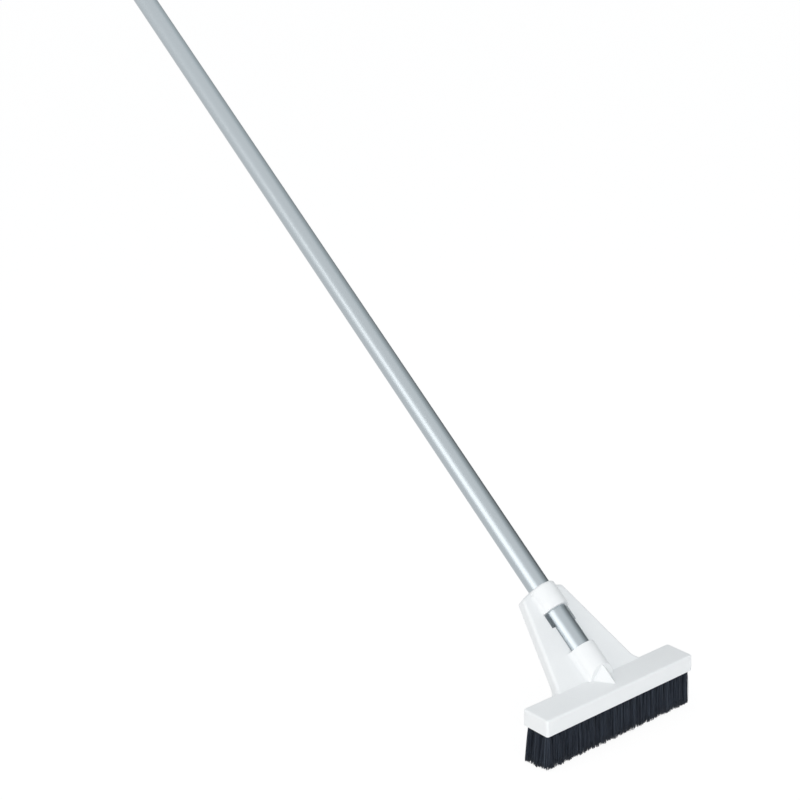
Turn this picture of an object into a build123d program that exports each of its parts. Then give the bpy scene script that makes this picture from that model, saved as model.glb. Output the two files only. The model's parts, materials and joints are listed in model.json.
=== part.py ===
"""Long-handled carpet brush: a one-piece moulded head, staple-set bristle tufts
and a push-fit aluminium handle.

Millimetres. X runs along the brush, +Y points to the back, where the handle
leans, and +Z is up. The origin is the centre of the bristle tips, where the
brush meets the carpet.
"""
from build123d import *
import math
import os

# --- brush block ----------------------------------------------------------
block_length = 212.6
block_depth = 36.0
block_height = 18.5
block_corner_radius = 3.0        # upright corners
block_top_radius = 2.2           # top edges
block_lower_chamfer = 0.7        # edges round the underside

# --- bristle tufts and their anchors --------------------------------------
bristle_length = 39.8            # from the block's underside to the tips
tufts_in_long_row = 21
tuft_rows = 5
tuft_edge_margin = 3.4           # block left outside the outermost holes
tuft_hole_diameter = 4.2
tuft_hole_depth = 13.0
tuft_hole_gap = 0.05             # between a tuft's corners and its hole
tuft_tip_gap = 0.3               # between the tips of neighbouring tufts
tuft_root_gap = 0.2              # between a tuft's fold and the hole's floor
tuft_sides = 6                   # of a tuft and of its hole
anchor_bite = 0.45               # how far each end of an anchor cuts into the hole's wall
anchor_height = 2.2
anchor_thickness = 0.4
anchor_inset = 0.8               # tuft folded over the anchor

# --- handle ---------------------------------------------------------------
handle_angle = 38.5              # degrees up from the floor
handle_inset = 0.4               # where its axis crosses the block's top, from the rear edge
tube_diameter = 25.4
tube_wall = 1.0
tube_length = 1200.0
tube_clearance = 0.05            # radial, in the socket and the collar
seat_gap = 0.2                   # under the handle when it is pushed home
plug_clearance = 0.04            # radial, between a plug and the inside of the tube
plug_rib = 2.4                   # thickness of the crossed ribs that grip inside the tube
foot_plug_length = 16.0
foot_flange = 2.0
cap_spigot_length = 28.0
cap_flange = 4.0                 # full round part of the hanging cap
cap_tongue_thickness = 10.0
cap_tongue_length = 25.0
cap_edge_chamfer = 1.2
hang_hole_diameter = 9.0

# --- bracket, measured along the handle's axis from the block's top --------
ring_wall = 3.75                 # round the tube, in the socket and the collar
socket_floor = 9.0               # where the tube seats
socket_length = 33.0             # to the window's lower end
ring_face_reach = 6.2            # the socket's upright front end, ahead of the crossing
nose_reach = 26.0                # the nose's tip, ahead of the crossing
nose_half_width = 17.0           # where its sides would reach the crossing
nose_drop = 0.6                  # top of the nose's ridge, below the ring's crown
nose_ridge_radius = 0.7
window_narrow_length = 32.0
window_wide_length = 17.0
window_side_gap = 0.6            # between the wide window's sides and the ring's flanks
window_floor_drop = 6.0          # the ledge behind the wide window, behind the handle's axis
window_lip_gap = 0.3             # between the tube and the narrow window's lips
collar_length = 29.0
collar_shoulder_radius = 3.0
ring_blend_radius = 5.0          # hollow blend from the rings to the fan
fan_front = 1.4                  # the fan's front face, in front of the handle's axis
fan_depth = 11.6
fan_wall = 2.6
fan_base_half_width = 57.0
fan_top_half_width = 29.1
fan_side_top = 107.0             # height of the fan's upper corners
fan_shoulder_angle = 18.0        # slope of the fan's upper edges
fan_corner_radius = 5.0
fan_edge_radius = 3.6            # round the front of the fan
fan_flare_radius = 18.0          # hollow sweep of the fan's foot into the block
fan_flare_start = 10.0
fan_flare_end = -1.0
fan_foot_rise = 1.0              # the fan's foot above the block's underside
rib_thickness = 2.0
rib_setback = 2.0                # ribs stop short of the fan's rim
cross_rib_heights = (16.0, 40.0, 62.0, 90.0)

# --- sizes that follow ----------------------------------------------------
tube_radius = tube_diameter / 2
tube_bore = tube_radius - tube_wall
bore_radius = tube_radius + tube_clearance
ring_radius = bore_radius + ring_wall
window_half_width = ring_radius + window_side_gap
window_wide_start = socket_length + window_narrow_length
collar_start = window_wide_start + window_wide_length
collar_end = collar_start + collar_length
fan_rim = fan_front - fan_depth
block_underside = bristle_length
block_top = block_underside + block_height
field_length = block_length - 2 * tuft_edge_margin - tuft_hole_diameter
field_depth = block_depth - 2 * tuft_edge_margin - tuft_hole_diameter
tuft_pitch = field_length / (tufts_in_long_row - 1)
row_pitch = field_depth / (tuft_rows - 1)
nearest_tuft = min(tuft_pitch, math.hypot(tuft_pitch / 2, row_pitch))
tuft_root_radius = tuft_hole_diameter / 2 - tuft_hole_gap
tuft_tip_radius = (nearest_tuft - tuft_tip_gap) / 2
tube_foot = socket_floor + seat_gap + foot_flange
tube_top = tube_foot + tube_length

# The bracket and the handle are drawn in the fan's own axes: X along the
# brush, Y up the handle's axis and Z out of the fan's face.
lean = math.radians(handle_angle)
fan_plane = Plane(
    origin=(0, block_depth / 2 - handle_inset, block_top),
    x_dir=(1, 0, 0),
    z_dir=(0, -math.sin(lean), math.cos(lean)),
)
# The handle's own axes: Z up the handle, Y out of the fan's face.
handle_plane = Plane(
    origin=fan_plane.origin,
    x_dir=(-1, 0, 0),
    z_dir=(0, math.cos(lean), math.sin(lean)),
)


def fan_level(height):
    """A plane across the handle's axis, this far up it, in the fan's axes."""
    return Plane(origin=(0, height, 0), x_dir=(-1, 0, 0), z_dir=(0, 1, 0))


def upright(x, y, z):
    """A place in the fan's axes, from its place square to the block: ahead (-Y) and up (+Z)."""
    return Vector(x, y * math.cos(lean) + z * math.sin(lean), z * math.cos(lean) - y * math.sin(lean))


def up_the_axis(radius, start, end):
    """A round bar on the handle's axis, in the fan's axes."""
    return extrude(fan_level(start) * Circle(radius), end - start)


# --- head -----------------------------------------------------------------
def fan_outline():
    """The fan's outline: straight tapering sides that sweep out at the foot."""
    taper = (fan_base_half_width - fan_top_half_width) / fan_side_top
    side_angle = math.atan(taper)
    start = Vector(fan_base_half_width - taper * fan_flare_start, fan_flare_start)
    centre = start + Vector(math.cos(side_angle), math.sin(side_angle)) * fan_flare_radius
    end_angle = math.asin((centre.Y - fan_flare_end) / fan_flare_radius)
    mid_angle = (side_angle + end_angle) / 2
    mid = centre - Vector(math.cos(mid_angle), math.sin(mid_angle)) * fan_flare_radius
    end = centre - Vector(math.cos(end_angle), math.sin(end_angle)) * fan_flare_radius
    crown = fan_side_top + fan_top_half_width * math.tan(math.radians(fan_shoulder_angle))
    half = Polyline((0, -fan_depth), (end.X, -fan_depth), end)
    half += ThreePointArc(end, mid, start)
    half += Polyline(start, (fan_top_half_width, fan_side_top), (0, crown))
    outline = make_face(half + mirror(half, Plane.YZ))
    corners = outline.vertices().filter_by_position(Axis.Y, fan_side_top - 0.01, fan_side_top + 0.01)
    return fillet(corners, fan_corner_radius)


def fan_tray(outline):
    """The fan's outer form: a deep plate, rounded round the front."""
    tray = extrude(Plane.XY.offset(fan_rim) * outline, fan_depth)
    front = tray.faces().sort_by(Axis.Z)[-1]
    return fillet(front.edges(), fan_edge_radius)


def fan_pocket(outline):
    """The hollow behind the face plate, open at the back and at the foot."""
    inside = offset(outline, -fan_wall, kind=Kind.INTERSECTION)
    inside += Pos(0, -fan_depth) * Rectangle(2 * fan_base_half_width, 2.1 * fan_wall)
    return extrude(Plane.XY.offset(fan_rim) * inside, fan_depth - fan_wall)


def ring_section():
    """A ring's section with the hollow blends that run it into the fan's face."""
    reach = ring_radius + ring_blend_radius
    blend_height = fan_front + ring_blend_radius
    spread = math.sqrt(reach ** 2 - blend_height ** 2)
    blend_centre = Vector(spread, blend_height)
    on_ring = blend_centre * (ring_radius / reach)
    on_fan = Vector(spread, fan_front)
    half_turn = (math.atan2(blend_height, spread) + math.pi / 2) / 2
    ring_mid = Vector(math.cos(half_turn), math.sin(half_turn)) * ring_radius
    chord_mid = (on_ring + on_fan) * 0.5 - blend_centre
    blend_mid = blend_centre + chord_mid.normalized() * ring_blend_radius
    half = ThreePointArc((0, ring_radius), ring_mid, on_ring)
    half += ThreePointArc(on_ring, blend_mid, on_fan)
    half += Polyline(on_fan, (spread, fan_front - fan_wall / 2), (0, fan_front - fan_wall / 2))
    return make_face(half + mirror(half, Plane.YZ))


def collar(outline):
    """The upper ring, rounded at its shoulder, with its blends cut back to the fan's edge."""
    ring = up_the_axis(ring_radius, collar_start, collar_end)
    shoulder = ring.faces().sort_by(Axis.Y)[-1]
    ring = fillet(shoulder.edges(), collar_shoulder_radius)
    blends = extrude(fan_level(collar_start) * ring_section(), collar_length)
    within = offset(outline, -fan_wall)
    keep = extrude(Plane.XY * within, ring_radius, taper=45)
    return ring + (blends & keep)


def socket():
    """The lower ring, cut off upright where the nose begins."""
    ring = up_the_axis(ring_radius, -ring_radius, socket_length)
    ring += extrude(fan_level(-ring_radius) * ring_section(), ring_radius + socket_length)
    front = Plane(origin=upright(0, -ring_face_reach, 0), x_dir=(1, 0, 0), z_dir=upright(0, 1, 0))
    return split(ring, bisect_by=front, keep=Keep.TOP)


def nose():
    """The pointed nose that carries the socket's crown down to the block."""
    crown = (ring_radius - ring_face_reach * math.sin(lean)) / math.cos(lean)
    tip = upright(0, -nose_reach, 0)
    foot_left = upright(-nose_half_width, 0, 0)
    foot_right = upright(nose_half_width, 0, 0)
    apex = upright(0, -ring_face_reach, crown - nose_drop)
    sides = [
        make_face(Polyline(tip, foot_left, foot_right, close=True)),
        make_face(Polyline(tip, foot_right, apex, close=True)),
        make_face(Polyline(tip, apex, foot_left, close=True)),
        make_face(Polyline(foot_left, apex, foot_right, close=True)),
    ]
    pyramid = Solid(Shell([side.faces()[0] for side in sides]))
    ridge = pyramid.edges().sort_by_distance((tip + apex) * 0.5)[0]
    return fillet(ridge, nose_ridge_radius)


def ribs(outline):
    """Ribs behind the face plate: across the fan, and down each side of the wide window."""
    depth = fan_depth - fan_wall - rib_setback
    middle = fan_rim + rib_setback + depth / 2
    web = Part()
    for height in cross_rib_heights:
        web += Pos(0, height, middle) * Box(2 * fan_base_half_width, rib_thickness, depth)
    frame_start = cross_rib_heights[-2]
    frame_end = cross_rib_heights[-1]
    for side in (-1, 1):
        beside = side * (window_half_width + rib_thickness / 2)
        web += Pos(beside, (frame_start + frame_end) / 2, middle) * Box(
            rib_thickness, frame_end - frame_start, depth
        )
    inside = offset(outline, -fan_wall / 2)
    return web & extrude(Plane.XY.offset(fan_rim) * inside, fan_depth)


def saddle():
    """The half ring that cradles the handle behind the windows, and the wide window's ledge."""
    half_ring = up_the_axis(ring_radius, socket_length, collar_start)
    half_ring = split(half_ring, bisect_by=Plane.XY, keep=Keep.BOTTOM)
    ledge = Box(2 * (window_half_width + rib_thickness), window_wide_length, rib_thickness)
    middle = window_wide_start + window_wide_length / 2
    return half_ring + Pos(0, middle, -window_floor_drop - rib_thickness / 2) * ledge


def bracket():
    """Everything above the block, in the fan's axes."""
    outline = fan_outline()
    body = fan_tray(outline) - fan_pocket(outline)
    body += [ribs(outline), saddle(), collar(outline), socket(), nose()]
    wide = Pos(0, window_wide_start + window_wide_length / 2, ring_radius - window_floor_drop)
    wide *= Box(2 * window_half_width, window_wide_length, 2 * ring_radius)
    lip_half_width = tube_radius + window_lip_gap
    narrow = Pos(0, socket_length + window_narrow_length / 2, ring_radius + fan_front - fan_wall)
    narrow *= Box(2 * lip_half_width, window_narrow_length, 2 * ring_radius)
    bore = up_the_axis(bore_radius, socket_floor, collar_end + ring_radius)
    return body - [wide, narrow, bore]


def block():
    """The brush block, with its upright corners and its edges rounded."""
    body = Pos(0, 0, block_underside + block_height / 2) * Box(
        block_length, block_depth, block_height
    )
    body = fillet(body.edges().filter_by(Axis.Z), block_corner_radius)
    body = fillet(body.faces().sort_by(Axis.Z)[-1].edges(), block_top_radius)
    return chamfer(body.faces().sort_by(Axis.Z)[0].edges(), block_lower_chamfer)


def tuft_places():
    """The tufts' places, row by row from the front, each second row set half a pitch over."""
    rows = []
    for row in range(tuft_rows):
        long_row = (row - tuft_rows // 2) % 2 == 0
        count = tufts_in_long_row if long_row else tufts_in_long_row - 1
        across = (row - (tuft_rows - 1) / 2) * row_pitch
        first = -(count - 1) / 2 * tuft_pitch
        rows.append([(first + place * tuft_pitch, across) for place in range(count)])
    return rows


def head_moulding(rows):
    """The block and the bracket, moulded as one, with the tuft holes drilled into it."""
    floor = Plane.XY.offset(block_underside + fan_foot_rise)
    body = block() + split(fan_plane * bracket(), bisect_by=floor, keep=Keep.TOP)
    section = RegularPolygon(tuft_hole_diameter / 2, tuft_sides, major_radius=False)
    hole = extrude(Plane.XY.offset(block_underside) * section, tuft_hole_depth)
    return body - [Pos(x, y) * hole for row in rows for x, y in row]


# --- bristles -------------------------------------------------------------
def tuft():
    """One tuft: straight in its hole, then spreading evenly to its tip."""
    spread = (tuft_tip_radius - tuft_root_radius) * math.cos(math.pi / tuft_sides)
    taper = math.degrees(math.atan2(spread, bristle_length))
    tip = RegularPolygon(tuft_tip_radius, tuft_sides)
    mouth = Pos(0, 0, bristle_length) * RegularPolygon(tuft_root_radius, tuft_sides)
    return extrude(tip, bristle_length, taper=taper) + extrude(mouth, tuft_hole_depth - tuft_root_gap)


def anchor():
    """The flat wire anchor that a tuft is folded over, its ends biting into the hole's wall."""
    middle = bristle_length + tuft_hole_depth - tuft_root_gap - anchor_inset - anchor_height / 2
    return Pos(0, 0, middle) * Box(tuft_hole_diameter + 2 * anchor_bite, anchor_thickness, anchor_height)


def set_in_row(piece, row):
    """A copy of a piece at each tuft of a row, as separate solids."""
    return Compound(children=[Pos(x, y) * piece for x, y in row])


# --- handle, in its own axes ----------------------------------------------
def handle_tube():
    """The plain drawn tube."""
    section = Circle(tube_radius) - Circle(tube_bore)
    return extrude(Plane.XY.offset(tube_foot) * section, tube_length)


def spigot(length):
    """The crossed ribs of a plug that is pushed into an end of the tube."""
    rib = Rectangle(tube_diameter, plug_rib)
    section = (rib + Rot(0, 0, 90) * rib) & Circle(tube_bore - plug_clearance)
    return extrude(section, length)


def foot_plug():
    """The plug in the tube's lower end: its flange carries the handle on the socket's floor."""
    flange = extrude(Circle(tube_radius), foot_flange)
    return Pos(0, 0, tube_foot - foot_flange) * (flange + Pos(0, 0, foot_flange) * spigot(foot_plug_length))


def hanging_cap():
    """The cap in the tube's upper end: a round collar and a flat tongue with a hanging hole."""
    hole_height = cap_flange + cap_tongue_length - tube_radius
    sheet = Pos(0, 0, hole_height) * Rot(90, 0, 0) * Cylinder(tube_radius, cap_tongue_thickness)
    sheet += Pos(0, 0, hole_height / 2) * Box(tube_diameter, cap_tongue_thickness, hole_height)
    round_end = sheet.edges().filter_by(GeomType.CIRCLE)
    sheet = chamfer(round_end, cap_edge_chamfer)
    tongue = sheet & extrude(Circle(tube_radius), cap_flange + cap_tongue_length)
    hole = Pos(0, 0, hole_height) * Rot(90, 0, 0) * Cylinder(hang_hole_diameter / 2, tube_diameter)
    inside_tube = Pos(0, 0, -cap_spigot_length) * spigot(cap_spigot_length)
    cap = tongue + extrude(Circle(tube_radius), cap_flange) + inside_tube - hole
    return Pos(0, 0, tube_top) * cap


# --- the finished pieces, one file each -----------------------------------
tuft_rows_laid = tuft_places()
one_tuft = tuft()
one_anchor = anchor()
pieces = {"head_moulding": head_moulding(tuft_rows_laid)}
for number, row in enumerate(tuft_rows_laid, start=1):
    pieces[f"tuft_row_{number}"] = set_in_row(one_tuft, row)
    pieces[f"anchor_row_{number}"] = set_in_row(one_anchor, row)
pieces["handle_tube"] = handle_plane * handle_tube()
pieces["foot_plug"] = handle_plane * foot_plug()
pieces["hanging_cap"] = handle_plane * hanging_cap()

os.makedirs("parts", exist_ok=True)
for name, piece in pieces.items():
    export_step(piece, f"parts/{name}.step")
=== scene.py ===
"""Dresses the long-handled carpet brush: finishes, bristles and a plain studio."""

import json
import math

import bmesh
import bpy
import numpy as np
from bpy.props import FloatProperty, FloatVectorProperty, IntProperty, PointerProperty
from mathutils import Matrix, Vector


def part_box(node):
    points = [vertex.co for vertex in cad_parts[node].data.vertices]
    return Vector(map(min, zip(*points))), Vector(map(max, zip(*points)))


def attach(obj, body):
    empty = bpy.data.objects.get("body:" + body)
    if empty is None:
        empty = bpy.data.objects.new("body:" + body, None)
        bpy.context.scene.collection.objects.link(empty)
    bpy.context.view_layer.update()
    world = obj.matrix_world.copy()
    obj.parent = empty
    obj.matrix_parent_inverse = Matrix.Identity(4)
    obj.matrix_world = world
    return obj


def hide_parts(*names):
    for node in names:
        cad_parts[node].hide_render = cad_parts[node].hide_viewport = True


bl_info = {
    "name": "Long-handled Carpet Brush",
    "version": (1, 0, 0),
    "blender": (4, 5, 0),
    "location": "View3D > Sidebar > Carpet Brush",
    "description": "Finishes, bristles and a studio for the carpet brush",
    "category": "Object",
}

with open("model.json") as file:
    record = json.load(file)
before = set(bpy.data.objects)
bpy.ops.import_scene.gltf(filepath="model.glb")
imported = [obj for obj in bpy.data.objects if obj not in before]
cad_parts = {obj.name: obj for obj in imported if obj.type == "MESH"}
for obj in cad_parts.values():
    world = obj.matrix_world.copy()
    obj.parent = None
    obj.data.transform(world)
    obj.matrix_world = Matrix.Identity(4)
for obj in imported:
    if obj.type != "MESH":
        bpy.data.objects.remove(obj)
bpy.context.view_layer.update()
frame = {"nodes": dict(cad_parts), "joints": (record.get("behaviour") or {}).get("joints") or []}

MM = 0.001
SEED = 7  # the same bristles in every run
TUFT_ROWS = sorted(name for name in frame["nodes"] if name.startswith("tuft_row"))
ANCHOR_ROWS = sorted(name for name in frame["nodes"] if name.startswith("anchor_row"))
HANDLE_AXIS = Vector(frame["joints"][0]["axis"]).normalized()
HANDLE_TILT = math.atan2(HANDLE_AXIS.z, HANDLE_AXIS.y)


# --- settings ----------------------------------------------------------------
class MouldingSettings(bpy.types.PropertyGroup):
    """Finish of the white head."""

    colour: FloatVectorProperty(
        name="Colour",
        description="Body colour of the moulded head",
        subtype="COLOR",
        size=3,
        min=0,
        max=1,
        default=(0.848, 0.868, 0.874),
    )
    shade: FloatVectorProperty(
        name="Flow Colour",
        description="Slightly deeper colour of the faint flow marks",
        subtype="COLOR",
        size=3,
        min=0,
        max=1,
        default=(0.828, 0.85, 0.859),
    )
    edge_radius: FloatProperty(
        name="Edge Softness",
        description="Radius that light sees on the mould's sharp edges",
        subtype="DISTANCE",
        unit="LENGTH",
        min=0,
        default=0.45 * MM,
    )
    grain_size: FloatProperty(
        name="Skin Grain",
        description="Size of the fine spark-eroded grain of the mould",
        subtype="DISTANCE",
        unit="LENGTH",
        min=0,
        default=0.7 * MM,
    )


class HandleSettings(bpy.types.PropertyGroup):
    """Finish of the tube, its hanging cap and its foot plug."""

    tube_colour: FloatVectorProperty(
        name="Tube",
        description="Satin anodised aluminium",
        subtype="COLOR",
        size=3,
        min=0,
        max=1,
        default=(0.482, 0.537, 0.567),
    )
    streak_colour: FloatVectorProperty(
        name="Draw Lines",
        description="Darker fine lines left by the drawing die",
        subtype="COLOR",
        size=3,
        min=0,
        max=1,
        default=(0.465, 0.512, 0.545),
    )
    streak_width: FloatProperty(
        name="Line Width",
        description="Width of the draw lines round the tube",
        subtype="DISTANCE",
        unit="LENGTH",
        min=0,
        default=0.35 * MM,
    )
    streak_length: FloatProperty(
        name="Line Length",
        description="Length of the draw lines along the tube",
        subtype="DISTANCE",
        unit="LENGTH",
        min=0,
        default=90 * MM,
    )
    plug_colour: FloatVectorProperty(
        name="Foot Plug",
        description="Black polyethylene of the plug in the socket",
        subtype="COLOR",
        size=3,
        min=0,
        max=1,
        default=(0.03, 0.03, 0.033),
    )


class BristleSettings(bpy.types.PropertyGroup):
    """The nylon bristles that stand for the plain tufts."""

    colour: FloatVectorProperty(
        name="Colour",
        description="Dyed nylon",
        subtype="COLOR",
        size=3,
        min=0,
        max=1,
        default=(0.016, 0.0225, 0.0365),
    )
    light_colour: FloatVectorProperty(
        name="Lighter Bristles",
        description="The few bristles that took less dye",
        subtype="COLOR",
        size=3,
        min=0,
        max=1,
        default=(0.045, 0.062, 0.088),
    )
    per_tuft: IntProperty(
        name="Bristles per Tuft",
        description="How many bristles stand in each hole",
        min=3,
        default=150,
    )
    diameter: FloatProperty(
        name="Thickness",
        description="Diameter of one bristle",
        subtype="DISTANCE",
        unit="LENGTH",
        min=0,
        default=0.47 * MM,
    )
    raggedness: FloatProperty(
        name="Raggedness",
        description="How much shorter the shortest bristles are",
        subtype="DISTANCE",
        unit="LENGTH",
        min=0,
        default=1.6 * MM,
    )
    bunch_step: FloatProperty(
        name="Bunch Step",
        description="How unevenly the small bunches of tips are trimmed",
        subtype="DISTANCE",
        unit="LENGTH",
        min=0,
        default=1.5 * MM,
    )
    root_radius: FloatProperty(
        name="Root Radius",
        description="Radius of the bundle where it leaves its hole",
        subtype="DISTANCE",
        unit="LENGTH",
        min=0,
        default=2.1 * MM,
    )
    inset: FloatProperty(
        name="End Inset",
        description="How far the tips stay inside the block's ends",
        subtype="DISTANCE",
        unit="LENGTH",
        min=0,
        default=2.8 * MM,
    )
    wander: FloatProperty(
        name="Wander",
        description="How far a tip strays from its place in the tuft",
        subtype="DISTANCE",
        unit="LENGTH",
        min=0,
        default=1.1 * MM,
    )
    stray_share: FloatProperty(
        name="Strays",
        description="Share of the bristles that cross their neighbours",
        min=0,
        max=1,
        default=0.012,
    )
    stray_reach: FloatProperty(
        name="Stray Reach",
        description="How far the tip of such a bristle strays",
        subtype="DISTANCE",
        unit="LENGTH",
        min=0,
        default=4.0 * MM,
    )
    end_splay: FloatProperty(
        name="End Splay",
        description="How far the tips lean out at the brush's worn end",
        subtype="DISTANCE",
        unit="LENGTH",
        min=0,
        default=4.8 * MM,
    )
    splay_reach: FloatProperty(
        name="Splay Reach",
        description="Length over which the lean fades out, inwards from that end",
        subtype="DISTANCE",
        unit="LENGTH",
        min=0,
        default=30 * MM,
    )


class StudioSettings(bpy.types.PropertyGroup):
    """The floor, the lamps and the camera."""

    camera_place: FloatVectorProperty(
        name="Camera",
        description="Where the camera stands",
        subtype="XYZ",
        unit="LENGTH",
        size=3,
        default=(-1.10368, -1.07604, 0.88171),
    )
    camera_azimuth: FloatProperty(
        name="Azimuth",
        description="Turn of the view about the upright",
        subtype="ANGLE",
        unit="ROTATION",
        default=math.radians(-38.024),
    )
    camera_elevation: FloatProperty(
        name="Elevation",
        description="How far the view looks down",
        subtype="ANGLE",
        unit="ROTATION",
        default=math.radians(18.409),
    )
    camera_roll: FloatProperty(
        name="Roll",
        description="Turn of the view about its own axis",
        subtype="ANGLE",
        unit="ROTATION",
        default=math.radians(-2.135),
    )
    camera_lens: FloatProperty(
        name="Lens",
        description="Focal length on a 36 mm sensor",
        unit="CAMERA",
        min=1,
        default=74.27,
    )
    side_light: FloatProperty(
        name="Side Light",
        description="Level of the soft light from all round, near the horizon",
        min=0,
        default=0.45,
    )
    top_light: FloatProperty(
        name="Top Light",
        description="Level of the soft light from overhead",
        min=0,
        default=0.82,
    )
    key_colour: FloatVectorProperty(
        name="Key Colour",
        description="Colour of the lamp at the left, a little warmer than the sky's",
        subtype="COLOR",
        size=3,
        min=0,
        max=1,
        default=(1.0, 0.962, 0.938),
    )
    key_power: FloatProperty(
        name="Key",
        description="Power of the large soft lamp at the left",
        unit="POWER",
        min=0,
        default=15.4,
    )
    fill_power: FloatProperty(
        name="Fill",
        description="Power of the soft lamp in front",
        unit="POWER",
        min=0,
        default=18.3,
    )
    front_power: FloatProperty(
        name="Front",
        description="Power of the small lamp between the other two",
        unit="POWER",
        min=0,
        default=4.2,
    )


# --- small helpers for node trees --------------------------------------------
def socket(group, name, direction, kind, default=None):
    """Adds one named socket to a node group."""
    made = group.interface.new_socket(name=name, in_out=direction, socket_type=kind)
    if default is not None:
        made.default_value = default


class Tree:
    """Short calls for adding nodes to one tree and linking them."""

    def __init__(self, tree):
        self.tree = tree

    def add(self, kind, **values):
        """A node, with values for its own settings and for its inputs, by their names."""
        node = self.tree.nodes.new(kind)
        for key, value in values.items():
            if hasattr(node, key):
                setattr(node, key, value)
            else:
                node.inputs[key.replace("_", " ").title()].default_value = value
        return node

    def link(self, source, target):
        self.tree.links.new(source, target)

    def maths(self, operation, first, second=None):
        """A maths node; each operand is a socket or a number."""
        node = self.add("ShaderNodeMath", operation=operation)
        for index, operand in enumerate((first, second)):
            if operand is None:
                continue
            if isinstance(operand, (int, float)):
                node.inputs[index].default_value = operand
            else:
                self.link(operand, node.inputs[index])
        return node.outputs[0]

    def ramp(self, value, low, high, to_low=0.0, to_high=1.0):
        """The value's span from low to high, spread over another span."""
        node = self.add("ShaderNodeMapRange")
        self.link(value, node.inputs["Value"])
        node.inputs["From Min"].default_value = low
        node.inputs["From Max"].default_value = high
        node.inputs["To Min"].default_value = to_low
        node.inputs["To Max"].default_value = to_high
        return node.outputs["Result"]

    def blend(self, factor, first, second):
        """A colour between two: each is a socket or a colour."""
        node = self.add("ShaderNodeMix", data_type="RGBA")
        self.link(factor, node.inputs["Factor"])
        for name, value in (("A", first), ("B", second)):
            target = next(s for s in node.inputs if s.name == name and s.type == "RGBA")
            if isinstance(value, bpy.types.NodeSocket):
                self.link(value, target)
            else:
                target.default_value = (*value, 1.0)
        return next(s for s in node.outputs if s.type == "RGBA")

    def effect(self, group, **inputs):
        """One of the shared effects, with its own values."""
        node = self.add("ShaderNodeGroup")
        node.node_tree = group
        for key, value in inputs.items():
            node.inputs[key.replace("_", " ")].default_value = value
        return node


def emptied(owner):
    """The node tree of a material or a world, with nothing in it."""
    owner.use_nodes = True
    owner.node_tree.nodes.clear()
    return Tree(owner.node_tree)


def new_group(name):
    """An empty node group with its two ends."""
    group = bpy.data.node_groups.new(name, "ShaderNodeTree")
    tree = Tree(group)
    return group, tree, tree.add("NodeGroupInput"), tree.add("NodeGroupOutput")


def shared(name, build):
    """The named effect, built the first time it is asked for."""
    return bpy.data.node_groups.get(name) or build(name)


# --- shared effects ----------------------------------------------------------
def build_moulded_skin(name):
    """Fine grain and faint flow marks of an injection-moulded surface."""
    group, tree, start, end = new_group(name)
    socket(group, "Grain Size", "INPUT", "NodeSocketFloat", 0.7 * MM)
    socket(group, "Flow Size", "INPUT", "NodeSocketFloat", 30 * MM)
    socket(group, "Height", "OUTPUT", "NodeSocketFloat")
    socket(group, "Flow", "OUTPUT", "NodeSocketFloat")
    place = tree.add("ShaderNodeTexCoord").outputs["Object"]
    grain = tree.add("ShaderNodeTexNoise", detail=3.0, roughness=0.6)
    tree.link(place, grain.inputs["Vector"])
    tree.link(tree.maths("DIVIDE", 1.0, start.outputs["Grain Size"]), grain.inputs["Scale"])
    flow = tree.add("ShaderNodeTexNoise", detail=2.0, roughness=0.45, distortion=0.8)
    tree.link(place, flow.inputs["Vector"])
    tree.link(tree.maths("DIVIDE", 1.0, start.outputs["Flow Size"]), flow.inputs["Scale"])
    tree.link(grain.outputs["Fac"], end.inputs["Height"])
    tree.link(tree.ramp(flow.outputs["Fac"], 0.35, 0.7), end.inputs["Flow"])
    return group


def build_soft_edges(name):
    """Rounded normals on sharp edges, and a mask of those edges."""
    group, tree, start, end = new_group(name)
    socket(group, "Radius", "INPUT", "NodeSocketFloat", 0.4 * MM)
    socket(group, "Normal", "OUTPUT", "NodeSocketVector")
    socket(group, "Edge", "OUTPUT", "NodeSocketFloat")
    alike, turned = 0.995, 0.90  # cosines between the rounded and the true normal
    bevel = tree.add("ShaderNodeBevel", samples=6)
    tree.link(start.outputs["Radius"], bevel.inputs["Radius"])
    likeness = tree.add("ShaderNodeVectorMath", operation="DOT_PRODUCT")
    tree.link(bevel.outputs["Normal"], likeness.inputs[0])
    tree.link(tree.add("ShaderNodeNewGeometry").outputs["Normal"], likeness.inputs[1])
    tree.link(bevel.outputs["Normal"], end.inputs["Normal"])
    tree.link(tree.ramp(likeness.outputs["Value"], alike, turned), end.inputs["Edge"])
    return group


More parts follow.
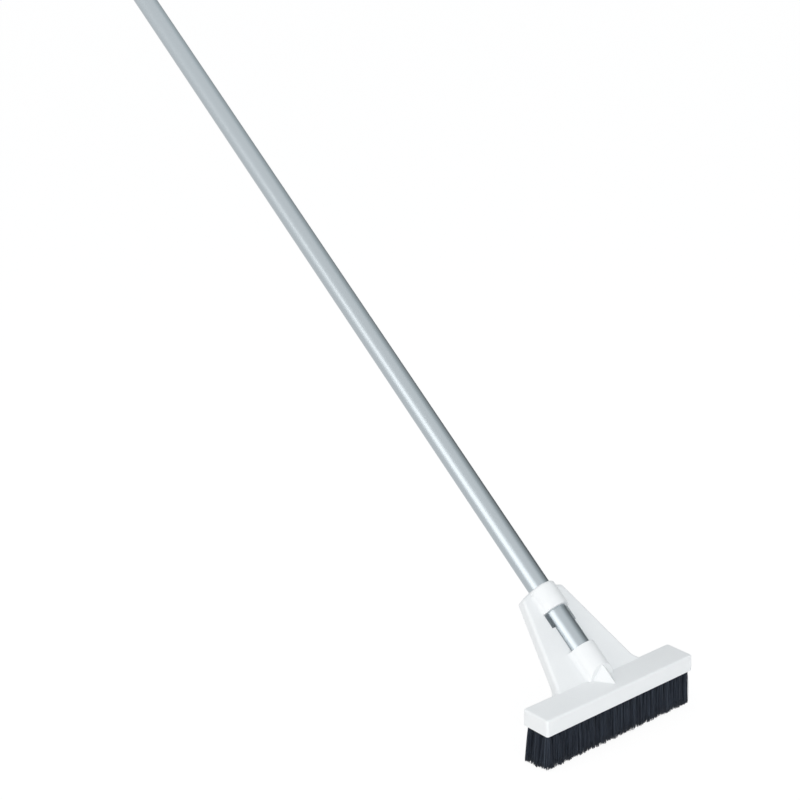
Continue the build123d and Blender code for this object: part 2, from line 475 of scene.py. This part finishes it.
def build_draw_lines(name):
    """Fine lines along the handle's axis, as a drawing die or a rolling mill leaves."""
    group, tree, start, end = new_group(name)
    socket(group, "Line Width", "INPUT", "NodeSocketFloat", 0.35 * MM)
    socket(group, "Line Length", "INPUT", "NodeSocketFloat", 90 * MM)
    socket(group, "Tilt", "INPUT", "NodeSocketFloat", 0.0)
    socket(group, "Line", "OUTPUT", "NodeSocketFloat")
    socket(group, "Band", "OUTPUT", "NodeSocketFloat")
    place = tree.add("ShaderNodeTexCoord").outputs["Object"]
    turn = tree.add("ShaderNodeVectorRotate", rotation_type="X_AXIS")
    tree.link(place, turn.inputs["Vector"])
    tree.link(tree.maths("MULTIPLY", start.outputs["Tilt"], -1.0), turn.inputs["Angle"])
    across = tree.maths("DIVIDE", 1.0, start.outputs["Line Width"])
    along = tree.maths("DIVIDE", 1.0, start.outputs["Line Length"])
    scale = tree.add("ShaderNodeCombineXYZ")
    tree.link(across, scale.inputs["X"])
    tree.link(along, scale.inputs["Y"])
    tree.link(across, scale.inputs["Z"])
    spread = tree.add("ShaderNodeVectorMath", operation="MULTIPLY")
    tree.link(turn.outputs["Vector"], spread.inputs[0])
    tree.link(scale.outputs["Vector"], spread.inputs[1])
    fine = tree.add("ShaderNodeTexNoise", scale=1.0, detail=2.0, roughness=0.55)
    tree.link(spread.outputs["Vector"], fine.inputs["Vector"])
    broad = tree.add("ShaderNodeTexNoise", scale=0.12, detail=1.0, roughness=0.5)
    tree.link(spread.outputs["Vector"], broad.inputs["Vector"])
    tree.link(fine.outputs["Fac"], end.inputs["Line"])
    tree.link(tree.ramp(broad.outputs["Fac"], 0.35, 0.65), end.inputs["Band"])
    return group


def new_material(name):
    """A material with only its shader and output: (material, tree, shader)."""
    material = bpy.data.materials.new(name)
    tree = emptied(material)
    shader = tree.add("ShaderNodeBsdfPrincipled")
    output = tree.add("ShaderNodeOutputMaterial")
    tree.link(shader.outputs["BSDF"], output.inputs["Surface"])
    return material, tree, shader


def rough_bump(tree, shader, height, strength, depth, normal=None):
    """Feeds a bump of this strength and depth into the shader's normal."""
    bump = tree.add("ShaderNodeBump", strength=strength, distance=depth)
    tree.link(height, bump.inputs["Height"])
    if normal is not None:
        tree.link(normal, bump.inputs["Normal"])
    tree.link(bump.outputs["Normal"], shader.inputs["Normal"])


def dress(node_name, material):
    """Puts a material on a node's slots."""
    node = frame["nodes"][node_name]
    if not node.material_slots:
        node.data.materials.append(material)
    for place in node.material_slots:
        place.material = material


# --- finishes ----------------------------------------------------------------
def moulded_plastic(name, colour, flow_colour, mould, roughness, grain_depth):
    """Injection-moulded plastic; the mould's settings give its grain and its edges, whose colour
    is brightened as a painted highlight.
    """
    flow_size = 35 * MM
    flow_roughness = 0.07
    # painted highlight: a brighter colour on the sharp edges, where light catches them
    edge_highlight_share = 0.6
    rubbed_polish = 0.10
    painted_highlight_colour = tuple(min(1.0, channel * 1.04 + 0.01) for channel in colour)
    material, tree, shader = new_material(name)
    skin = tree.effect(
        shared("Moulded Skin", build_moulded_skin),
        Grain_Size=mould.grain_size,
        Flow_Size=flow_size,
    )
    edges = tree.effect(shared("Soft Edges", build_soft_edges), Radius=mould.edge_radius)
    body = tree.blend(skin.outputs["Flow"], colour, flow_colour)
    # painted highlight: the body colour is brightened along the sharp edges
    painted_edge_highlight = tree.maths("MULTIPLY", edges.outputs["Edge"], edge_highlight_share)
    tree.link(tree.blend(painted_edge_highlight, body, painted_highlight_colour), shader.inputs["Base Color"])
    rough = tree.ramp(skin.outputs["Flow"], 0.0, 1.0, roughness, roughness + flow_roughness)
    polish = tree.maths("MULTIPLY", edges.outputs["Edge"], rubbed_polish)
    tree.link(tree.maths("SUBTRACT", rough, polish), shader.inputs["Roughness"])
    rough_bump(
        tree,
        shader,
        skin.outputs["Height"],
        strength=0.25,
        depth=grain_depth,
        normal=edges.outputs["Normal"],
    )
    shader.inputs["IOR"].default_value = 1.49
    shader.inputs["Specular IOR Level"].default_value = 0.5
    return material


def anodised_tube(settings):
    """Satin anodised aluminium with the fine lines of a drawn tube."""
    least_rough, most_rough = 0.32, 0.37
    material, tree, shader = new_material("anodised_tube")
    lines = tree.effect(
        shared("Draw Lines", build_draw_lines),
        Line_Width=settings.streak_width,
        Line_Length=settings.streak_length,
        Tilt=HANDLE_TILT,
    )
    colour = tree.blend(lines.outputs["Line"], settings.streak_colour, settings.tube_colour)
    tree.link(colour, shader.inputs["Base Color"])
    rough = tree.ramp(lines.outputs["Band"], 0.0, 1.0, least_rough, most_rough)
    tree.link(rough, shader.inputs["Roughness"])
    shader.inputs["Metallic"].default_value = 1.0
    rough_bump(tree, shader, lines.outputs["Line"], strength=0.04, depth=0.003 * MM)
    return material


def galvanised_wire():
    """Dull zinc-coated flat wire."""
    dull_zinc, bright_zinc = (0.42, 0.43, 0.44), (0.62, 0.63, 0.63)
    least_rough, most_rough = 0.35, 0.5
    material, tree, shader = new_material("galvanised_wire")
    lines = tree.effect(
        shared("Draw Lines", build_draw_lines), Line_Width=0.2 * MM, Line_Length=4 * MM
    )
    colour = tree.blend(lines.outputs["Line"], dull_zinc, bright_zinc)
    tree.link(colour, shader.inputs["Base Color"])
    rough = tree.ramp(lines.outputs["Band"], 0.0, 1.0, least_rough, most_rough)
    tree.link(rough, shader.inputs["Roughness"])
    shader.inputs["Metallic"].default_value = 1.0
    rough_bump(tree, shader, lines.outputs["Line"], strength=0.2, depth=0.01 * MM)
    return material


def dyed_nylon(settings):
    """Black nylon, lighter on the bristles that took less dye."""
    least_rough, most_rough = 0.34, 0.5
    material, tree, shader = new_material("dyed_nylon")
    tone = tree.add("ShaderNodeAttribute", attribute_name="dye")
    colour = tree.blend(tone.outputs["Fac"], settings.colour, settings.light_colour)
    tree.link(colour, shader.inputs["Base Color"])
    lines = tree.effect(
        shared("Draw Lines", build_draw_lines),
        Line_Width=0.3 * MM,
        Line_Length=12 * MM,
        Tilt=math.pi / 2,
    )
    rough = tree.ramp(lines.outputs["Line"], 0.2, 0.8, least_rough, most_rough)
    tree.link(rough, shader.inputs["Roughness"])
    rough_bump(tree, shader, lines.outputs["Line"], strength=0.15, depth=0.01 * MM)
    shader.inputs["IOR"].default_value = 1.53
    shader.inputs["Specular IOR Level"].default_value = 0.3
    return material


# --- bristles ----------------------------------------------------------------
WELD = 0.001 * MM  # corners closer than this are one
RING_SIDES = 4  # corners of a bristle's section
RINGS = 6  # sections from root to tip
RING_TWIST = 1.7  # radians from one bristle's corners to the next one's
TIP_TAPER = 0.8  # a tip's thickness next to the root's
RING_CROWDING = 1.5  # over 1 brings the rings closer together near the root
GOLDEN_TURN = math.pi * (3 - math.sqrt(5))  # lays points evenly over a disc
ROOT_DEPTH = 2 * MM  # how far up its hole a bristle starts
BOW = 0.3 * MM  # how far a bristle bends aside between root and tip
BUNCHES = 2  # side by side in each tuft, and trimmed unevenly
SHORT_RARITY = 2.2  # over 1 leaves few of the bristles short
PALE_RARITY = 3  # over 1 leaves few of the bristles pale
SPREAD_RATE = 0.28  # 1 spreads a bristle evenly on its way down, and less spreads it early
END_RATES = (0.90, 0.12)  # the same at the worn end, along the brush and across it
END_ZONE = 10 * MM  # how far in from that end these rates fade out
FULL_SPLAY = 0.25  # how far in the lean starts to fade, as a share of the splay's reach
EVEN_SPLAY = 0.9  # share of the lean that all bristles have alike
FRONT_LEAN = 0.3  # the front row's share of the lean, where the back row has it all
BACK_SPREAD = 0.4  # how far the back row's tips spread to the back, next to its room there


def islands(node_name):
    """The boxes of a node's separate solids: a list of (lowest, highest) corners."""
    mesh = bmesh.new()
    mesh.from_mesh(frame["nodes"][node_name].data)
    bmesh.ops.remove_doubles(mesh, verts=mesh.verts, dist=WELD)
    left = set(mesh.verts)
    boxes = []
    while left:
        front = [left.pop()]
        solid = list(front)
        while front:
            vertex = front.pop()
            for edge in vertex.link_edges:
                other = edge.other_vert(vertex)
                if other in left:
                    left.remove(other)
                    front.append(other)
                    solid.append(other)
        places = np.array([vertex.co for vertex in solid])
        boxes.append((places.min(0), places.max(0)))
    mesh.free()
    return sorted(boxes, key=lambda box: box[0][0])


class Field:
    """The block's underside: its rows of holes and the room for the bristles' tips.

    Depth is the way from front to back, Y, and the worn end is the one at the lowest X.
    """

    def __init__(self, settings):
        head_low, head_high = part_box("head_moulding")
        depths = [self.depth(node_name) for node_name in TUFT_ROWS]
        self.front = min(depths)
        self.back = max(depths)
        self.half_row = (self.back - self.front) / (len(depths) - 1) / 2
        self.worn_end = head_low.x
        self.underside = head_low.z
        self.reach = head_high.x - settings.inset
        self.low = np.array([-self.reach, self.front - self.half_row])
        self.high = np.array([self.reach, self.back + BACK_SPREAD * self.half_row])

    @staticmethod
    def depth(node_name):
        """Where a row's middle lies from front to back."""
        low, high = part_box(node_name)
        return (low.y + high.y) / 2

    def lean(self, node_name):
        """A row's share of the end splay."""
        behind = (self.depth(node_name) - self.front) / (self.back - self.front)
        return FRONT_LEAN + (1 - FRONT_LEAN) * behind

    def cells(self, centres):
        """Each tuft's share of the room: it meets its neighbours' halfway between them."""
        along = [centre[0] for centre in centres]
        middles = [(first + second) / 2 for first, second in zip(along, along[1:])]
        edges = [-self.reach, *middles, self.reach]
        return [
            (
                np.array([start, centre[1] - self.half_row]),
                np.array([end, centre[1] + self.half_row]),
            )
            for centre, start, end in zip(centres, edges, edges[1:])
        ]


def tuft_roots(centre, count, settings, chance):
    """Where a tuft's bristles stand in its hole: an array of bristles by XY."""
    order = np.arange(count) + 0.5
    turn = order * GOLDEN_TURN + chance.uniform(0, 2 * math.pi)
    spoke = np.sqrt(order / count) * settings.root_radius
    return centre + np.stack([np.cos(turn) * spoke, np.sin(turn) * spoke], axis=1)


def tuft_tips(root, cell, lean, field, settings, chance):
    """Where the tips end over the floor, and which of them strayed.

    The tips fill the tuft's cell in the order of their roots and wander a little. Near
    the worn end they lean out.
    """
    low, high = cell
    count = len(root)
    tip = low + (high - low) * chance.random((count, 2))
    tip[:, 0] = np.sort(tip[:, 0])[np.argsort(np.argsort(root[:, 0]))]
    tip += chance.normal(0, settings.wander / 2, (count, 2))
    stray = chance.random(count) < settings.stray_share
    tip += stray[:, None] * chance.normal(0, settings.stray_reach, (count, 2))
    tip = np.clip(tip, field.low, field.high)
    faded = (tip[:, 0] - field.worn_end) / settings.splay_reach - FULL_SPLAY
    uneven = EVEN_SPLAY + (1 - EVEN_SPLAY) * chance.random(count)
    tip[:, 0] -= settings.end_splay * lean * np.clip(1 - faded, 0, 1) * uneven
    return tip, stray


def tip_heights(tip, cell, settings, chance):
    """How high over the floor each bristle is cut, bunch by bunch and one by one."""
    low, high = cell
    bunch = np.clip((tip[:, 0] - low[0]) / (high[0] - low[0]) * BUNCHES, 0, BUNCHES - 1)
    trim = settings.bunch_step * chance.random(BUNCHES)[bunch.astype(int)]
    return trim + settings.raggedness * chance.random(len(tip)) ** SHORT_RARITY


def tuft_lines(centre, cell, lean, count, field, settings, chance):
    """The centre lines of one tuft's bristles: an array of bristles by rings by XYZ.

    The bristles stand close in the hole and spread until their tips fill the cell.
    """
    root = tuft_roots(centre, count, settings, chance)
    tip, stray = tuft_tips(root, cell, lean, field, settings, chance)
    top = field.underside + ROOT_DEPTH
    bottom = tip_heights(tip, cell, settings, chance)
    down = np.linspace(0, 1, RINGS) ** RING_CROWDING
    height = top + (bottom - top)[:, None] * down
    bow = chance.normal(0, BOW, (count, 2))
    outer = np.clip(1 - (tip[:, 0] - field.worn_end) / END_ZONE, 0, 1)
    rate = SPREAD_RATE + outer[:, None] * (np.array(END_RATES) - SPREAD_RATE)
    rate[stray] = 1.0
    spread = down[None, :, None] ** rate[:, None, :]
    side = root[:, None, :] + (tip - root)[:, None, :] * spread
    side += bow[:, None, :] * np.sin(down * math.pi)[None, :, None]
    return np.concatenate([side, height[:, :, None]], axis=2)


def bristle_mesh(name, lines, dye, diameter):
    """One closed mesh of thin tapering rods along the given centre lines."""
    count = len(lines)
    turn = np.arange(RING_SIDES) * 2 * math.pi / RING_SIDES
    twist = np.arange(count)[:, None, None] * RING_TWIST + turn[None, None, :]
    taper = np.linspace(1.0, TIP_TAPER, RINGS)[None, :, None] * diameter / 2
    ring = np.zeros((count, RINGS, RING_SIDES, 3))
    ring[..., 0] = np.cos(twist) * taper
    ring[..., 1] = np.sin(twist) * taper
    places = (lines[:, :, None, :] + ring).reshape(-1, 3)
    per = RINGS * RING_SIDES
    faces = []
    for bristle in range(count):
        base = bristle * per
        for level in range(RINGS - 1):
            for side in range(RING_SIDES):
                here = base + level * RING_SIDES + side
                beside = base + level * RING_SIDES + (side + 1) % RING_SIDES
                faces.append((here, here + RING_SIDES, beside + RING_SIDES, beside))
        faces.append(tuple(base + side for side in range(RING_SIDES)))
        last = base + per - RING_SIDES
        faces.append(tuple(last + side for side in reversed(range(RING_SIDES))))
    mesh = bpy.data.meshes.new(name)
    mesh.from_pydata(places.tolist(), [], faces)
    tone = mesh.attributes.new("dye", "FLOAT", "POINT")
    tone.data.foreach_set("value", np.repeat(dye, per).astype(np.float32))
    smooth = np.ones(len(mesh.polygons), dtype=bool)
    mesh.polygons.foreach_set("use_smooth", smooth)
    mesh.update()
    return mesh


def plant_row(node_name, material, field, settings, chance):
    """Bristles in place of one row of plain tufts."""
    centres = [((low + high) / 2)[:2] for low, high in islands(node_name)]
    pitch = centres[1][0] - centres[0][0]
    lines = []
    dye = []
    for centre, cell in zip(centres, field.cells(centres)):
        width = cell[1][0] - cell[0][0]
        count = round(settings.per_tuft * max(1.0, width / pitch))
        tuft = tuft_lines(centre, cell, field.lean(node_name), count, field, settings, chance)
        lines.append(tuft)
        dye.append(chance.random(count) ** PALE_RARITY)
    name = node_name.replace("tuft_row", "bristle_row")
    mesh = bristle_mesh(name, np.concatenate(lines), np.concatenate(dye), settings.diameter)
    mesh.materials.append(material)
    piece = bpy.data.objects.new(name, mesh)
    bpy.context.scene.collection.objects.link(piece)
    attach(piece, "head")
    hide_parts(node_name)


# --- studio ------------------------------------------------------------------
# Places and sizes are in metres.
SKY_COLOUR = (0.96, 0.98, 1.0, 1.0)
WHITE = (1.0, 1.0, 1.0, 1.0)
SKY_RISE = (0.2, 0.9)  # how far up the side light starts to change, and is all top light
FLOOR_SIZE = (60.0, 60.0)
FLOOR_COLOUR = (0.9, 0.9, 0.9, 1.0)
FLOOR_WHITE_SHARE = 0.86  # the rest is matt and takes the shadow
FLOOR_WHITE_REFLECTED = 0.93
FLOOR_WHITE_SEEN = 1.06  # over 1, because the matt share is a little grey
LAMP_AIM = (0.0, 0.25, 0.2)
KEY_PLACE, KEY_SIZE = (-2.2, 0.05, 0.9), (2.2, 1.6)
FILL_PLACE, FILL_SIZE = (-0.6, -2.4, 0.8), (1.4, 1.0)
FRONT_PLACE, FRONT_SIZE = (-1.7, -1.5, 1.3), (0.8, 0.8)
CARD_PLACE, CARD_AIM, CARD_SIZE = (1.0, 0.8, 1.4), (-1.0, 0.8, 1.4), (3.6, 2.8)
CARD_COLOUR = (0.94, 0.99, 1.0, 1.0)
CARD_LEVELS = (0.1, 0.97)  # its glow at its foot and at its top
CARD_FOOT = 0.75  # how far down its lower half the glow stops fading
CARD_BEND = 0.55  # under 1 brightens the glow soon above the foot
NEAREST_SEEN = 0.01
SENSOR_WIDTH = 36.0  # millimetres


def backdrop_mask(tree):
    """1 for the rays that see the backdrop, 0 for those that only carry light."""
    path = tree.add("ShaderNodeLightPath")
    seen = tree.maths("MAXIMUM", path.outputs["Is Camera Ray"], path.outputs["Is Glossy Ray"])
    return tree.maths("MAXIMUM", seen, path.outputs["Is Transmission Ray"])


def mixed(tree, factor, first, second):
    """A mix of two shaders."""
    mix = tree.add("ShaderNodeMixShader")
    tree.link(factor, mix.inputs["Fac"])
    tree.link(first, mix.inputs[1])
    tree.link(second, mix.inputs[2])
    return mix.outputs["Shader"]


def studio_world(side_light, top_light):
    """White to the eye, and a softer light on the object that changes towards the top."""
    world = bpy.data.worlds.new("studio")
    tree = emptied(world)
    light = tree.add("ShaderNodeBackground", Color=SKY_COLOUR)
    height = tree.add("ShaderNodeSeparateXYZ")
    tree.link(tree.add("ShaderNodeTexCoord").outputs["Generated"], height.inputs["Vector"])
    level = tree.ramp(height.outputs["Z"], *SKY_RISE, side_light, top_light)
    tree.link(level, light.inputs["Strength"])
    white = tree.add("ShaderNodeBackground", Color=WHITE)
    mask = backdrop_mask(tree)
    sky = mixed(tree, mask, light.outputs["Background"], white.outputs["Background"])
    tree.link(sky, tree.add("ShaderNodeOutputWorld").inputs["Surface"])
    bpy.context.scene.world = world


def floor_material():
    """A pale floor that reads white and keeps the object's soft shadow."""
    material = bpy.data.materials.new("studio_floor")
    tree = emptied(material)
    matt = tree.add("ShaderNodeBsdfDiffuse", Color=FLOOR_COLOUR)
    white = tree.add("ShaderNodeEmission", Color=WHITE)
    seen = tree.add("ShaderNodeLightPath").outputs["Is Camera Ray"]
    level = tree.ramp(seen, 0.0, 1.0, FLOOR_WHITE_REFLECTED, FLOOR_WHITE_SEEN)
    tree.link(level, white.inputs["Strength"])
    share = tree.maths("MULTIPLY", backdrop_mask(tree), FLOOR_WHITE_SHARE)
    surface = mixed(tree, share, matt.outputs["BSDF"], white.outputs["Emission"])
    tree.link(surface, tree.add("ShaderNodeOutputMaterial").inputs["Surface"])
    return material


def card_material(name, height):
    """A glow that rises from the card's foot to its top."""
    material = bpy.data.materials.new(name)
    tree = emptied(material)
    glow = tree.add("ShaderNodeEmission", Color=CARD_COLOUR)
    place = tree.add("ShaderNodeSeparateXYZ")
    tree.link(tree.add("ShaderNodeTexCoord").outputs["Object"], place.inputs["Vector"])
    rise = tree.ramp(place.outputs["Y"], -CARD_FOOT * height / 2, height / 2)
    level = tree.ramp(tree.maths("POWER", rise, CARD_BEND), 0.0, 1.0, *CARD_LEVELS)
    tree.link(level, glow.inputs["Strength"])
    surface = tree.add("ShaderNodeOutputMaterial").inputs["Surface"]
    tree.link(glow.outputs["Emission"], surface)
    return material


def flat_sheet(name, size, material):
    """A flat rectangle round the origin, linked to the scene."""
    half_width, half_depth = (side / 2 for side in size)
    places = [
        (-half_width, -half_depth, 0),
        (half_width, -half_depth, 0),
        (half_width, half_depth, 0),
        (-half_width, half_depth, 0),
    ]
    mesh = bpy.data.meshes.new(name)
    mesh.from_pydata(places, [], [(0, 1, 2, 3)])
    mesh.materials.append(material)
    sheet = bpy.data.objects.new(name, mesh)
    bpy.context.scene.collection.objects.link(sheet)
    return sheet


def turn_towards(place, aim):
    """The turn that points a lamp's or a card's front from its place at the aim."""
    return (Vector(aim) - Vector(place)).to_track_quat("-Z", "Y").to_euler()


def lay_floor():
    """A wide flat floor at the bristle tips' level."""
    floor = flat_sheet("floor", FLOOR_SIZE, floor_material())


def soft_lamp(name, place, size, power, colour=WHITE[:3], glare=False):
    """A soft lamp at the brush; without glare it lights but shows in no reflection."""
    data = bpy.data.lights.new(name, "AREA")
    data.shape = "RECTANGLE"
    data.size, data.size_y = size
    data.energy = power
    data.color = colour
    lamp = bpy.data.objects.new(name, data)
    lamp.location = place
    lamp.rotation_euler = turn_towards(place, LAMP_AIM)
    lamp.visible_glossy = glare
    bpy.context.scene.collection.objects.link(lamp)


def stand_card():
    """A tall grey card at the right that only shows in reflections."""
    name = "right_flag"
    flag = flat_sheet(name, CARD_SIZE, card_material(name, CARD_SIZE[1]))
    flag.location = CARD_PLACE
    flag.rotation_euler = turn_towards(CARD_PLACE, CARD_AIM)
    flag.visible_camera = False
    flag.visible_diffuse = False
    flag.visible_shadow = False
    flag.visible_transmission = False


def stand_camera(settings):
    """The camera, turned by its azimuth, elevation and roll."""
    data = bpy.data.cameras.new("camera")
    data.lens = settings.camera_lens
    data.sensor_width = SENSOR_WIDTH
    data.clip_start = NEAREST_SEEN
    camera = bpy.data.objects.new("camera", data)
    upright = Matrix.Rotation(math.radians(90) - settings.camera_elevation, 4, "X")
    turn = Matrix.Rotation(settings.camera_azimuth, 4, "Z")
    roll = Matrix.Rotation(settings.camera_roll, 4, "Z")
    camera.matrix_world = Matrix.Translation(settings.camera_place) @ turn @ upright @ roll
    bpy.context.scene.collection.objects.link(camera)
    bpy.context.scene.camera = camera


# --- operators ---------------------------------------------------------------
class DressHead(bpy.types.Operator):
    """Gives the moulded head its white plastic"""

    bl_idname = "carpet_brush.dress_head"
    bl_label = "Dress Head"

    def execute(self, context):
        head = context.scene.brush_moulding
        white = moulded_plastic(
            "white_moulding", head.colour, head.shade, head, roughness=0.36, grain_depth=0.02 * MM
        )
        dress("head_moulding", white)
        return {"FINISHED"}


class PlantBristles(bpy.types.Operator):
    """Replaces the plain tufts with nylon bristles"""

    bl_idname = "carpet_brush.plant_bristles"
    bl_label = "Plant Bristles"

    def execute(self, context):
        settings = context.scene.brush_bristles
        material = dyed_nylon(settings)
        field = Field(settings)
        chance = np.random.default_rng(SEED)
        for node_name in TUFT_ROWS:
            plant_row(node_name, material, field, settings, chance)
        return {"FINISHED"}


class DressAnchors(bpy.types.Operator):
    """Gives the tufts' anchors their galvanised wire"""

    bl_idname = "carpet_brush.dress_anchors"
    bl_label = "Dress Anchors"

    def execute(self, context):
        material = galvanised_wire()
        for node_name in ANCHOR_ROWS:
            dress(node_name, material)
        return {"FINISHED"}


class DressHandle(bpy.types.Operator):
    """Gives the tube, its cap and its plug their finishes"""

    bl_idname = "carpet_brush.dress_handle"
    bl_label = "Dress Handle"

    def execute(self, context):
        handle = context.scene.brush_handle
        head = context.scene.brush_moulding
        black = handle.plug_colour
        plug = moulded_plastic(
            "black_plug", black, black, head, roughness=0.5, grain_depth=0.03 * MM
        )
        cap = moulded_plastic(
            "white_cap", head.colour, head.shade, head, roughness=0.4, grain_depth=0.03 * MM
        )
        dress("handle_tube", anodised_tube(handle))
        dress("foot_plug", plug)
        dress("hanging_cap", cap)
        return {"FINISHED"}


class SetStudio(bpy.types.Operator):
    """Lays the floor and sets the lamps and the camera"""

    bl_idname = "carpet_brush.set_studio"
    bl_label = "Set Studio"

    def execute(self, context):
        settings = context.scene.brush_studio
        studio_world(settings.side_light, settings.top_light)
        lay_floor()
        soft_lamp(
            "key_lamp", KEY_PLACE, KEY_SIZE, settings.key_power, settings.key_colour, glare=True
        )
        soft_lamp("fill_lamp", FILL_PLACE, FILL_SIZE, settings.fill_power)
        soft_lamp("front_lamp", FRONT_PLACE, FRONT_SIZE, settings.front_power)
        stand_card()
        stand_camera(settings)
        context.scene.view_settings.view_transform = "Standard"
        return {"FINISHED"}


class CarpetBrushPanel(bpy.types.Panel):
    """Lists the brush's settings and the steps that build it"""

    bl_idname = "VIEW3D_PT_carpet_brush"
    bl_label = "Carpet Brush"
    bl_space_type = "VIEW_3D"
    bl_region_type = "UI"
    bl_category = "Carpet Brush"

    def draw(self, context):
        for operator, group in STEPS:
            column = self.layout.column(align=True)
            column.operator(operator.bl_idname)
            if group is not None:
                settings = getattr(context.scene, group)
                for name in settings.bl_rna.properties.keys():
                    if name not in ("rna_type", "name"):
                        column.prop(settings, name)


STEPS = (
    (DressHead, "brush_moulding"),
    (PlantBristles, "brush_bristles"),
    (DressAnchors, None),
    (DressHandle, "brush_handle"),
    (SetStudio, "brush_studio"),
)
SETTINGS = {
    "brush_moulding": MouldingSettings,
    "brush_bristles": BristleSettings,
    "brush_handle": HandleSettings,
    "brush_studio": StudioSettings,
}


def register():
    for name, group in SETTINGS.items():
        bpy.utils.register_class(group)
        setattr(bpy.types.Scene, name, PointerProperty(type=group))
    for operator, _ in STEPS:
        bpy.utils.register_class(operator)
    bpy.utils.register_class(CarpetBrushPanel)


def unregister():
    bpy.utils.unregister_class(CarpetBrushPanel)
    for operator, _ in reversed(STEPS):
        bpy.utils.unregister_class(operator)
    for name, group in reversed(SETTINGS.items()):
        delattr(bpy.types.Scene, name)
        bpy.utils.unregister_class(group)


def main():
    register()
    bpy.ops.carpet_brush.dress_head()
    bpy.ops.carpet_brush.plant_bristles()
    bpy.ops.carpet_brush.dress_anchors()
    bpy.ops.carpet_brush.dress_handle()
    bpy.ops.carpet_brush.set_studio()


if __name__ == "__main__":
    main()
